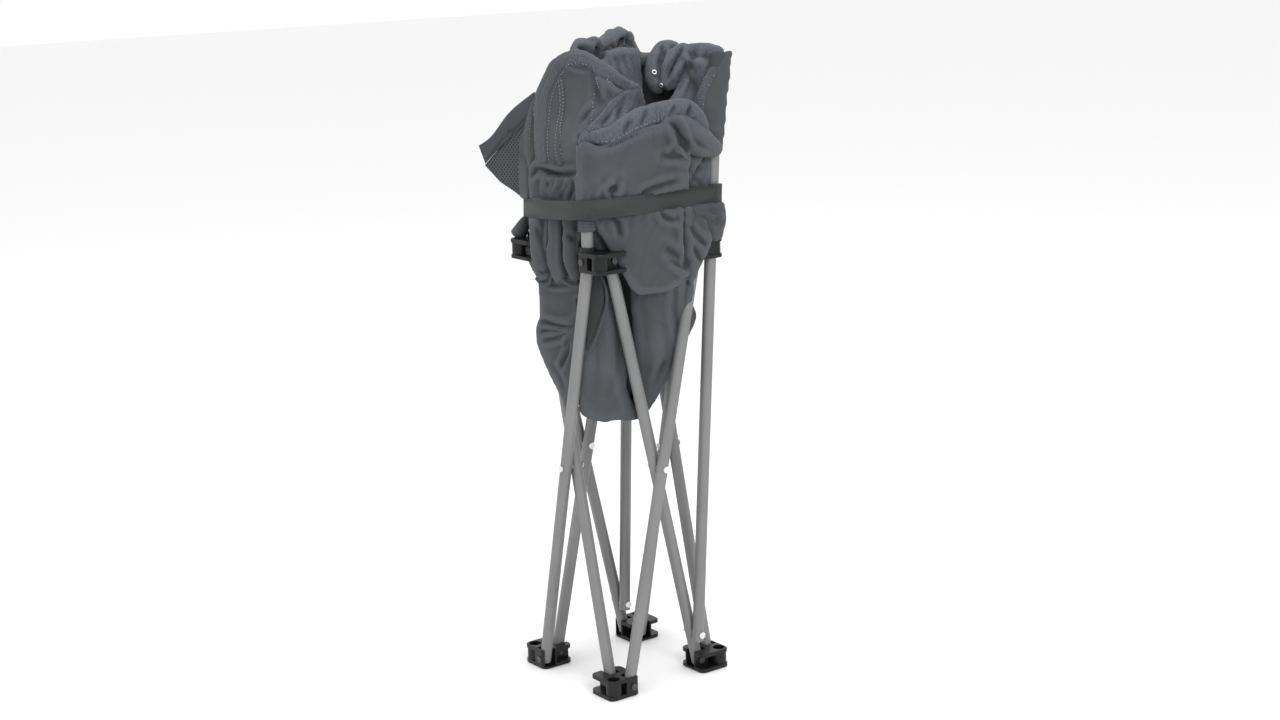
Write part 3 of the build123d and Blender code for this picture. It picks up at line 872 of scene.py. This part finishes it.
# ------------------------------------------------------------------ seat, hanging in two leaves
flat = panel([(-102, 20, 562), (-51, 70, 570), (-50, 70, 530), (-56, 70, 505), (-99, 20, 496),
    (-103, 17, 524)], 3, 14, 6)
knot = panel([(-98, 12, 505), (-111, 10, 485), (-108, 10, 460), (-95, 20, 428), (-80, 30, 397),
    (-75, 40, 383), (-66, 56, 384), (-56, 66, 430), (-54, 66, 480), (-55, 66, 508)],
    10, 22, 14, [(-84, 34, 450)])
front_lobe = panel([(-44, 78, 560), (-47, 78, 500), (-52, 74, 440), (-55, 68, 387), (-32, 68, 369),
    (0, 64, 368), (26, 54, 366), (24, 56, 380), (14, 62, 404), (4, 72, 450), (1, 76, 483), (-3, 78, 520),
    (-9, 76, 560)], 9, 36, 15, [(-22, 84, 450)])
front_bulk = column([(392, [(52, -32), (54, -56), (30, -72), (0, -72), (-26, -66), (-20, -40), (20, -30)]),
                     (450, [(60, -29), (62, -54), (36, -72), (0, -74), (-44, -72), (-44, -40), (0, -28)]),
                     (560, [(52, -30), (54, -62), (30, -72), (-20, -74), (-56, -70), (-56, -36), (0, -28)])])
outer_left = panel([(-126, -22, 594), (-108, 6, 594), (-98, 14, 550), (-97, 14, 500), (-104, 10, 498),
    (-105, 4, 545), (-116, -12, 568)], 4, 12, 6)
seat_front = joined("seat_front_cloth", [flat, knot, front_lobe, front_bulk, outer_left])
wrinkle(seat_front, 1.0, (60, 60, 110), 51, 0.12, 0.9)
creases(seat_front, (
    ([(-106, 22, 500), (-84, 46, 497), (-58, 72, 500)], 11, 4),
    ([(-106, 24, 486), (-84, 48, 491), (-58, 74, 500)], 8, 3.5),
    ([(-102, 30, 474), (-82, 52, 482), (-60, 74, 496)], 7, 3.5),
    ([(-80, 52, 440), (-70, 62, 462), (-60, 74, 490)], 9, 3.5),
    ([(-74, 60, 468), (-64, 72, 488)], 6, 3.5),
    ([(-92, 36, 440), (-84, 48, 430), (-76, 52, 410)], 3, 5),
    ([(-104, 24, 556), (-80, 50, 552), (-52, 76, 560)], 5, 3),
    ([(-30, 92, 400), (-26, 92, 450), (-28, 90, 500)], 1.8, 7),
    ([(4, 82, 500), (8, 80, 440), (18, 72, 385)], 3, 6),
))

back_lobe = panel([(20, 68, 590), (66, 66, 590), (98, 54, 584), (103, 50, 550), (101, 44, 520), (99, 36, 496),
    (90, 34, 470), (74, 40, 434), (67, 42, 417), (41, 50, 379), (20, 50, 365), (19, 50, 400), (20, 54, 440),
    (20, 64, 490)], 9, 40, 15, [(50, 64, 470)])
beyond = panel([(88, 10, 530), (104, -6, 512), (109, -12, 492), (103, -14, 474), (92, -10, 460),
    (82, 6, 480)], 4, 12, 8)
back_bulk = column([(385, [(30, -18), (34, 20), (10, 40), (-30, 36), (-36, 4), (-20, -16)]),
                    (450, [(60, -18), (62, 30), (40, 58), (-40, 56), (-56, 20), (-50, -16)]),
                    (585, [(62, -18), (64, 40), (50, 62), (-50, 62), (-60, 30), (-58, -16)])])
seat_back = joined("seat_back_cloth", [back_lobe, beyond, back_bulk])
pucker(seat_back, seen_path([(22, 76, 548), (50, 76, 540), (80, 66, 544), (102, 58, 556)]), 0.5, 12, 14, 5)
wrinkle(seat_back, 1.1, (60, 60, 110), 61, 0.12, 0.9)
creases(seat_back, (
    ([(34, 76, 540), (40, 74, 460), (36, 66, 400)], 1.8, 8),
    ([(84, 62, 556), (80, 60, 520), (84, 50, 480)], 4, 6),
    ([(98, 60, 560), (92, 56, 530), (90, 48, 500)], 5, 5),
    ([(46, 66, 400), (58, 60, 430), (64, 56, 450)], 3, 5),
))

# ------------------------------------------------------------------ backrest, bunched between the posts
core = column([(474, [(44, 48), (40, 64), (-40, 64), (-44, 48), (0, 44)]),
               (600, [(46, 48), (44, 66), (-44, 66), (-46, 48), (0, 44)]),
               (652, [(84, 60), (82, 96), (0, 102), (-80, 98), (-84, 62), (0, 46)]),
               (740, [(84, 84), (88, 112), (0, 118), (-86, 112), (-88, 70), (-40, 70), (0, 86), (36, 88)]),
               (836, [(72, 94), (86, 116), (0, 122), (-92, 118), (-90, 76), (-40, 74), (0, 94), (36, 96)])])
body_lobe = panel([(98, -44, 852), (113, -36, 862), (134, -22, 861), (153, -6, 853), (152, 0, 800),
    (140, 12, 745), (107, 22, 750), (70, 24, 764), (66, 16, 778), (84, 0, 796), (92, -20, 812)], 12, 20, 15)
fold_a = seen_roll([(92, -56, 853), (76, -56, 850), (65, -44, 836), (60, -30, 816), (64, -20, 800)],
    [20, 30, 30, 26, 16])
fold_b = seen_roll([(104, -44, 853), (92, -38, 842), (82, -26, 826), (76, -16, 806)], [22, 30, 28, 18])
crumple = panel([(-54, -4, 846), (-51, -8, 863), (-42, -20, 874), (-20, -56, 866), (2, -100, 873),
    (21, -120, 878), (32, -124, 868), (41, -110, 852), (44, -70, 832), (20, -30, 822), (-10, 0, 826),
    (-40, 12, 830)], 8, 22, 10)
crumple_roll = seen_roll([(-46, -4, 858), (-30, -22, 862), (-10, -52, 862), (12, -84, 870), (30, -104, 864)],
    [14, 18, 20, 22, 16])
lump = panel([(-14, -18, 842), (1, -40, 855), (22, -50, 857), (38, -50, 852), (44, -48, 820), (41, -14, 776),
    (20, 10, 770), (-8, 14, 786), (-14, 4, 816)], 12, 40, 16)
backrest = joined("backrest_cloth", [core, body_lobe, fold_a, fold_b, crumple, crumple_roll, lump])
cinch(backrest)
wrinkle(backrest, 1.2, (34, 34, 46), 71, 0.1, 0.8, 0.5)
creases(backrest, (
    ([(98, -30, 862), (90, -20, 840), (78, -8, 822), (74, -4, 806)], 12, 4),
    ([(70, -46, 858), (70, -36, 846), (64, -24, 830)], 6, 4),
    ([(62, -12, 802), (74, -4, 798), (90, -4, 812), (102, -14, 832)], 8, 4.5),
    ([(112, -20, 862), (110, -16, 846), (112, -8, 826)], 4, 5),
    ([(-16, -4, 846), (4, -24, 858), (24, -34, 860), (42, -36, 856)], 11, 4),
    ([(-30, -24, 876), (-18, -30, 858), (-10, -18, 844)], 10, 4.5),
    ([(-44, -2, 866), (-28, -6, 856), (-14, -6, 850)], 7, 4),
    ([(2, -84, 886), (10, -78, 868), (18, -60, 858)], 8, 4),
    ([(24, -100, 884), (22, -90, 868), (32, -80, 856)], 7, 4),
    ([(-8, -70, 876), (6, -70, 862), (22, -78, 866), (36, -90, 872)], 7, 3.5),
    ([(-8, 22, 826), (6, 18, 834), (26, 8, 838)], 5, 5),
    ([(16, 18, 780), (20, 10, 816), (18, 0, 842)], 3, 6),
    ([(34, 4, 790), (36, -6, 820), (32, -20, 846)], 4, 5),
))
pucker(backrest, seen_path([(-40, 6, 846), (0, -10, 846), (40, -40, 846)]), 1.2, 12, 22, 5)
pucker(backrest, seen_path([(60, -20, 806), (80, -10, 806), (104, -6, 800)]), 1.2, 12, 20, 6)
for path in ([(50, 130, 850), (44, 126, 740), (40, 112, 650)], [(0, 132, 850), (6, 126, 740), (2, 112, 640)],
             [(-50, 132, 850), (-44, 124, 740), (-46, 112, 650)], [(24, 70, 600), (26, 70, 540), (22, 68, 490)],
             [(-20, 70, 600), (-24, 70, 540), (-20, 68, 490)]):
    crease(backrest, path, 11, 6)

post_wrap = joined("side_panel_tail", [
    column([(609, [(108, 84), (104, 104), (86, 106), (80, 92), (88, 80)]),
            (636, [(112, 78), (106, 108), (82, 108), (78, 90), (88, 72)]),
            (664, [(104, 80), (103, 104), (84, 108), (78, 88), (88, 74)])], 40, 20),
    panel([(98, 54, 664), (124, 40, 664), (146, 22, 655), (150, 18, 640), (148, 20, 628), (134, 32, 626),
           (118, 44, 636), (104, 52, 646)], 7, 12, 6)])
cinch(post_wrap)
wrinkle(post_wrap, 1.0, (30, 30, 30), 77, 0.12, 0.8, 0.5)
creases(post_wrap, (
    ([(104, 62, 658), (120, 52, 648), (134, 42, 646), (148, 30, 644)], 6, 3.5),
    ([(112, 56, 640), (126, 46, 632), (150, 28, 628)], 6, 4),
    ([(126, 46, 650), (134, 40, 640), (138, 36, 626)], 4, 4),
))

post_panel = joined("backrest_end", [panel([(112, 34, 748), (108, 31, 784), (120, 23, 814), (136, 17, 838),
    (150, 10, 851), (164, 2, 853), (161, 6, 836), (154, 15, 781), (147, 20, 727), (134, 30, 716),
    (120, 38, 734)], 9, 24, 13, [(134, 27, 780)])])
wrinkle(post_panel, 0.8, (50, 50, 80), 81, 0.12, 0.9)
creases(post_panel, (
    ([(140, 18, 842), (146, 14, 820), (150, 14, 790)], 3, 5),
    ([(118, 38, 745), (130, 36, 740), (142, 26, 738)], 4, 5),
))

# ------------------------------------------------------------------ pocket
def leaf(name, top, bottom, thick, nu=50, nv=30):
    """A thin piece of cloth between two edges."""
    verts, faces = pad(seen_path(top), seen_path(bottom), thick / 2, nu, nv)
    obj = mesh_object(name, verts, faces)
    apply_modifier(obj, "WELD", merge_threshold=0.0002)
    face_outwards(obj.data)
    return obj


POCKET_EDGES = ([(-100, 2, 806), (-135, -18, 778), (-161, -22, 746), (-179, -26, 733)],
                [(-104, -4, 772), (-130, -20, 748), (-150, -22, 730), (-171, -26, 708)])
MESH_EDGES = ([(-105, -6, 780), (-131, -22, 749), (-152, -24, 728), (-172, -28, 706)],
              [(-110, -10, 664), (-122, -16, 663), (-136, -22, 672), (-152, -26, 683)])
pocket = leaf("pocket_flap", *POCKET_EDGES, 3.0)
mesh = leaf("pocket_mesh", *MESH_EDGES, 1.6)

# ------------------------------------------------------------------ bindings and stitching
EXTRAS = []  # (object, host, material)


def run(path, closed=False):
    """Length of a path in metres."""
    line = catmull(path, 200, closed)
    line = np.vstack([line, line[:1]]) if closed else line
    return float(np.linalg.norm(np.diff(line, axis=0), axis=1).sum()) * MM


def bind(name, host, path, width, gather=0.0, surface=HEATHER, lift=0.6, thick=1.2):
    """Sews a binding to its host."""
    strip = tape(name, [host], seen_path(path), width, lift, thick, gather=gather)
    EXTRAS.append((strip, host, surface))
    return strip


def sew(name, hosts, path):
    EXTRAS.append((stitches(name, hosts, seen_path(path)), hosts[0], THREAD))


rim = bind("front_panel_binding", left_front, [(-92, 44, 716), (-91, 36, 763), (-89, 26, 800), (-80, 34, 828),
    (-66, 42, 845), (-46, 50, 854), (-26, 60, 847), (-10, 68, 836), (6, 70, 826), (24, 72, 816)], 15)
band = bind("front_panel_band", left_front, [(-76, 50, 828), (-73, 58, 800), (-71, 64, 760), (-68, 64, 714)],
    10, surface=CLOTH)
frill = bind("post_panel_binding", post_panel, [(138, 30, 834), (128, 34, 822), (119, 40, 804),
    (115, 44, 784), (116, 46, 766), (124, 46, 756)], 13, gather=0.5)
edge = bind("triangle_binding", collar, [(-30, 116, 764), (-12, 106, 783), (4, 94, 799), (24, 84, 812)],
    10, lift=0.4, thick=0.8)
sew("band_stitches_left", [left_front, band], [(-80, 48, 826), (-77, 58, 800), (-75, 62, 760), (-72, 64, 715)])
sew("band_stitches_right", [left_front, band], [(-72, 54, 830), (-69, 62, 800), (-67, 68, 760), (-64, 68, 714)])
sew("binding_stitches", [left_front, rim], [(-83, 50, 716), (-83, 44, 763), (-81, 38, 796), (-74, 40, 820),
    (-61, 48, 837), (-44, 56, 845), (-27, 64, 839)])
sew("panel_stitches", [left_front], [(-21, 66, 830), (-22, 78, 812), (-24, 86, 783), (-27, 92, 766)])
sew("tip_stitches", [left_front, rim], [(-8, 74, 828), (6, 76, 818), (20, 76, 809)])
sew("collar_stitches", [collar], [(-22, 126, 748), (-4, 124, 749), (14, 118, 756), (40, 106, 767),
    (66, 92, 772), (92, 76, 772)])
sew("triangle_stitches", [collar], [(22, 90, 800), (12, 98, 784), (4, 106, 770)])
sew("frill_stitches", [post_panel, frill], [(143, 32, 830), (134, 36, 818), (126, 42, 802), (122, 46, 784),
    (122, 48, 766)])
sew("second_stitches", [left_front], [(-106, 14, 790), (-112, 12, 760), (-112, 14, 726)])
sew("lump_stitches", [backrest], [(-8, 24, 834), (8, 10, 842), (28, 0, 846)])

# piping hems under the front left folds, and the small hanging pouch with its piped edge
EXTRAS.append((mesh_object("fold_piping", *seen_roll([(-106, 32, 560), (-98, 40, 553), (-89, 46, 554),
    (-84, 50, 566), (-78, 56, 574), (-70, 62, 562), (-58, 72, 556), (-46, 80, 556)], [4, 5, 5, 5, 5, 5, 4])),
    folds, CLOTH))
pouch = joined("seat_pouch", [panel([(-40, 86, 572), (-20, 86, 574), (-14, 88, 555), (-15, 88, 530),
    (-23, 88, 508), (-32, 88, 484), (-43, 86, 460), (-44, 82, 510)], 3, 6, 5)], 2.0, 2)
wrinkle(pouch, 0.8, (20, 20, 30), 91, 0.2, 0.8)
EXTRAS.append((pouch, seat_front, DARK))
EXTRAS.append((mesh_object("pouch_piping", *seen_roll([(-20, 90, 574), (-13, 91, 555), (-13, 92, 532),
    (-21, 92, 508), (-30, 92, 484), (-42, 88, 459)], [4, 4, 4, 4, 4, 3])), seat_front, CLOTH))

# two pressed eyelets in the backrest
tree = surface_of([backrest])
for k, (u, d, z) in enumerate(((58, -14, 828), (63, -4, 805))):
    spot, out, _, _ = tree.find_nearest(Vector(at(u, d, z)) * MM)
    bpy.ops.mesh.primitive_torus_add(major_radius=0.0026, minor_radius=0.001, major_segments=32,
                                     minor_segments=12)
    ring = bpy.context.object
    ring.name = f"eyelet_{k + 1}"
    ring.data.transform(Matrix.Translation(spot + out * 0.0008) @ out.to_track_quat("Z",
                                                                                    "Y").to_matrix().to_4x4())
    ring.data.shade_smooth()
    EXTRAS.append((ring, backrest, METAL))

# pocket border tape
EXTRAS.append((tape("pocket_tape", [pocket], seen_path([(-107, 4, 784), (-125, -10, 762), (-148, -16, 740),
    (-171, -22, 714)]), 10, 0.5, 0.9), pocket, DARK))


def sleeve(node, name, ribs_to):
    """The cloth sleeve round a post: as long as its CAD node, hollow, with soft ribs below a height."""
    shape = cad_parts[node]
    v = np.array([shape.matrix_world @ p.co for p in shape.data.vertices]) / MM
    low, high = v[v[:, 2] < v[:, 2].min() + 3].mean(0), v[v[:, 2] > v[:, 2].max() - 3].mean(0)
    count, around = 90, 40
    axis = low + (high - low) * np.linspace(0, 1, count)[:, None]
    angle = np.linspace(0, 2 * math.pi, around, endpoint=False)
    rings = []
    for inner in (0, 1):
        layer = []
        for k in range(count):
            p = axis[k]
            rib = np.clip((ribs_to - p[2]) / 8, 0, 1)
            wave = 0.9 * rib * np.sin(p[2] * 1.5 + 1.2 * np.sin(angle))
            soft = 0.5 * np.sin(3 * angle + p[2] / 17) + 0.35 * np.sin(5 * angle - p[2] / 11)
            r = (8.5 if inner else 11.0 + wave + soft) * np.ones(around)
            layer.append(p + np.stack([np.cos(angle) * r, np.sin(angle) * r, np.zeros(around)], 1))
        rings.append(layer if not inner else layer[::-1])
    rings = np.concatenate(rings)
    verts = rings.reshape(-1, 3)
    faces = grid_faces(2 * count, around, True)
    last = (2 * count - 1) * around
    faces += [(last + c, last + (c + 1) % around, (c + 1) % around, c) for c in range(around)]
    return mesh_object(name, verts, faces)


SLEEVES = {"arm_sleeve_right": ("hub_front_right", 664), "arm_sleeve_left": ("hub_front_left", 664),
           "back_sleeve_right": ("post_right", 0), "back_sleeve_left": ("post_left", 0)}
for node_name, (body, ribs_to) in SLEEVES.items():
    piece = sleeve(node_name, node_name + "_cloth", ribs_to)
    dress(piece, body, DARK if "back" in node_name else CLOTH)
    float(np.ptp(coords(piece)[:, 2])) * MM
    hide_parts(node_name)

# ------------------------------------------------------------------ strap
def ribbon(name, loop, width, thick, count=260, ripple=0.0):
    """A closed band of webbing along a loop, with soft ribs on its outer face."""
    line = catmull(loop, count, True)
    tangent = np.roll(line, -1, 0) - np.roll(line, 1, 0)
    tangent /= np.linalg.norm(tangent, axis=1, keepdims=True)
    out = np.cross(tangent, (0, 0, 1.0))
    out /= np.linalg.norm(out, axis=1, keepdims=True)
    up = np.cross(out, tangent)
    sway = ripple * np.sin(np.linspace(0, 2 * math.pi * 5, count, endpoint=False))[:, None]
    section = [(-0.5, 0.0), (-0.47, 1.0), (-0.25, 1.06), (0.0, 1.0), (0.25, 1.06), (0.47, 1.0), (0.5, 0.0),
               (0.0, 0.0)]
    rings = [line + up * (s * width) + out * (h * thick + sway * s) for s, h in section]
    n = len(section)
    verts = np.stack(rings, 1).reshape(-1, 3)
    faces = []
    for k in range(count):
        for j in range(n):
            a, b = k * n + j, k * n + (j + 1) % n
            c, e = ((k + 1) % count) * n + j, ((k + 1) % count) * n + (j + 1) % n
            faces.append((a, c, e, b))
    return mesh_object(name, verts, faces)


strap_line = [(x, y, STRAP_Z + STRAP_TILT * x) for x, y in STRAP_LOOP[::-1]]
STRAP_WIDTH, STRAP_THICK = 25, 1.6
strap = ribbon("strap_webbing", strap_line, STRAP_WIDTH, STRAP_THICK, ripple=0.8)
keeper_path = [(104.5, 82), (106, 90), (103.5, 97)]
tree = surface_of([strap])
keeper_line, keeper_n = snapped(tree, [(x, y, STRAP_Z + STRAP_TILT * x) for x, y in keeper_path], 0.8)
KEEPER_HALF, KEEPER_THICK = 14, 1.6
keeper_section = ((-KEEPER_HALF, 0), (-KEEPER_HALF, KEEPER_THICK), (KEEPER_HALF, KEEPER_THICK), (KEEPER_HALF,
    0))
keeper_verts = [p + np.array([0, 0, s]) + n * h for p, n in zip(keeper_line, keeper_n) for s,
    h in keeper_section]
keeper = mesh_object("strap_keeper", keeper_verts, grid_faces(3, 4, True) + [(0, 1, 2, 3), (11, 10, 9, 8)],
    False)

# ------------------------------------------------------------------ motion and names
for obj, flow, surface, slot_name in (
    (seat_front, "seat_front", CLOTH, "cloth"),
    (seat_back, "seat_back", CLOTH, "cloth"),
    (right_arm, "armrest_right", CLOTH, "cloth"),
    (collar, "armrest_right", HEATHER, "cloth"),
    (left_arm, "armrest_left", CLOTH, "cloth"),
    (backrest, "backrest", HEATHER, "cloth"),
    (post_panel, "backrest", CLOTH, "cloth"),
    (post_wrap, "hub_back_right", CLOTH, "cloth"),
    (left_front, "left_bundle", CLOTH, "cloth"),
    (folds, "left_bundle", CLOTH, "cloth"),
    (pocket, "left_bundle", CLOTH, "cloth"),
    (mesh, "left_bundle", NET, "mesh"),
    (strap, "strap_loop", WEBBING, "webbing"),
    (keeper, "strap_loop", WEBBING, "webbing"),
):
    dress(obj, flow, surface, slot_name)
MOVES = {obj.name: flow for obj, flow, _ in PIECES}
for extra, host, surface in EXTRAS:
    dress(extra, MOVES[host.name], surface, "rivets" if surface is METAL else "cloth")
for obj, flow, slot_name in PIECES:
    settle(obj, flow)
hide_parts("seat_front_right", "seat_front_left")
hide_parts("seat_back_right", "seat_back_left")
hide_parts("armrest_right_front", "armrest_right_rear")
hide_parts("armrest_left_front", "armrest_left_rear")
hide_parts("backrest_right", "backrest_left")
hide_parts("mesh_pocket")
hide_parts("strap")


# ------------------------------------------------------------------ floor, light and camera
def flat_material(name, colour, rough):
    m, t, s = material(name)
    s.inputs["Base Color"].default_value = (*colour, 1)
    s.inputs["Roughness"].default_value = rough
    return m


bpy.ops.mesh.primitive_plane_add(size=30, location=(0, 0, -0.0005))
floor = bpy.context.object
floor.name = "floor"
floor.data.materials.append(flat_material("floor_pale", (0.92, 0.92, 0.92), 0.6))


def area_light(name, location, size, power, target=(0, 0, 0.5)):
    light = bpy.data.lights.new(name, "AREA")
    light.shape = "DISK"
    light.size = size
    light.energy = power
    obj = bpy.data.objects.new(name, light)
    obj.location = location
    obj.rotation_euler = (Vector(target) - Vector(location)).to_track_quat("-Z", "Y").to_euler()
    bpy.context.scene.collection.objects.link(obj)
    return obj


world = bpy.data.worlds.new("studio")
bpy.context.scene.world = world
world.use_nodes = True
world.node_tree.nodes["Background"].inputs["Color"].default_value = (1, 1, 1, 1)
world.node_tree.nodes["Background"].inputs["Strength"].default_value = 1.0
area_light("key", (3.4, -0.8, 2.6), 1.5, 58)
area_light("fill", (-0.8, -3.4, 2.2), 2.0, 14)
area_light("top", (0.2, 0.1, 3.6), 1.6, 38)

VIEW_RISE, VIEW_ROLL = math.radians(12.15), math.radians(1.658)
VIEW_AIM, VIEW_DISTANCE = Vector((0, 0, 0.4625)), 2.775
LENS, SHIFT = 57.35, (0.01762, -0.01383)
right = Vector((*ACROSS, 0))
back = Vector((*(c * math.cos(VIEW_RISE) for c in TOWARDS), math.sin(VIEW_RISE)))
up = back.cross(right)
cam_right = right * math.cos(VIEW_ROLL) - up * math.sin(VIEW_ROLL)
cam_up = up * math.cos(VIEW_ROLL) + right * math.sin(VIEW_ROLL)
cam = bpy.data.cameras.new("camera")
cam.sensor_width = 36
cam.lens = LENS
cam.shift_x, cam.shift_y = SHIFT
cam.clip_end = 60
camera = bpy.data.objects.new("camera", cam)
pose = Matrix((cam_right, cam_up, back)).transposed().to_4x4()
pose.translation = VIEW_AIM + back * VIEW_DISTANCE
camera.matrix_world = pose
bpy.context.scene.collection.objects.link(camera)
bpy.context.scene.camera = camera
bpy.context.scene.view_settings.view_transform = "Standard"
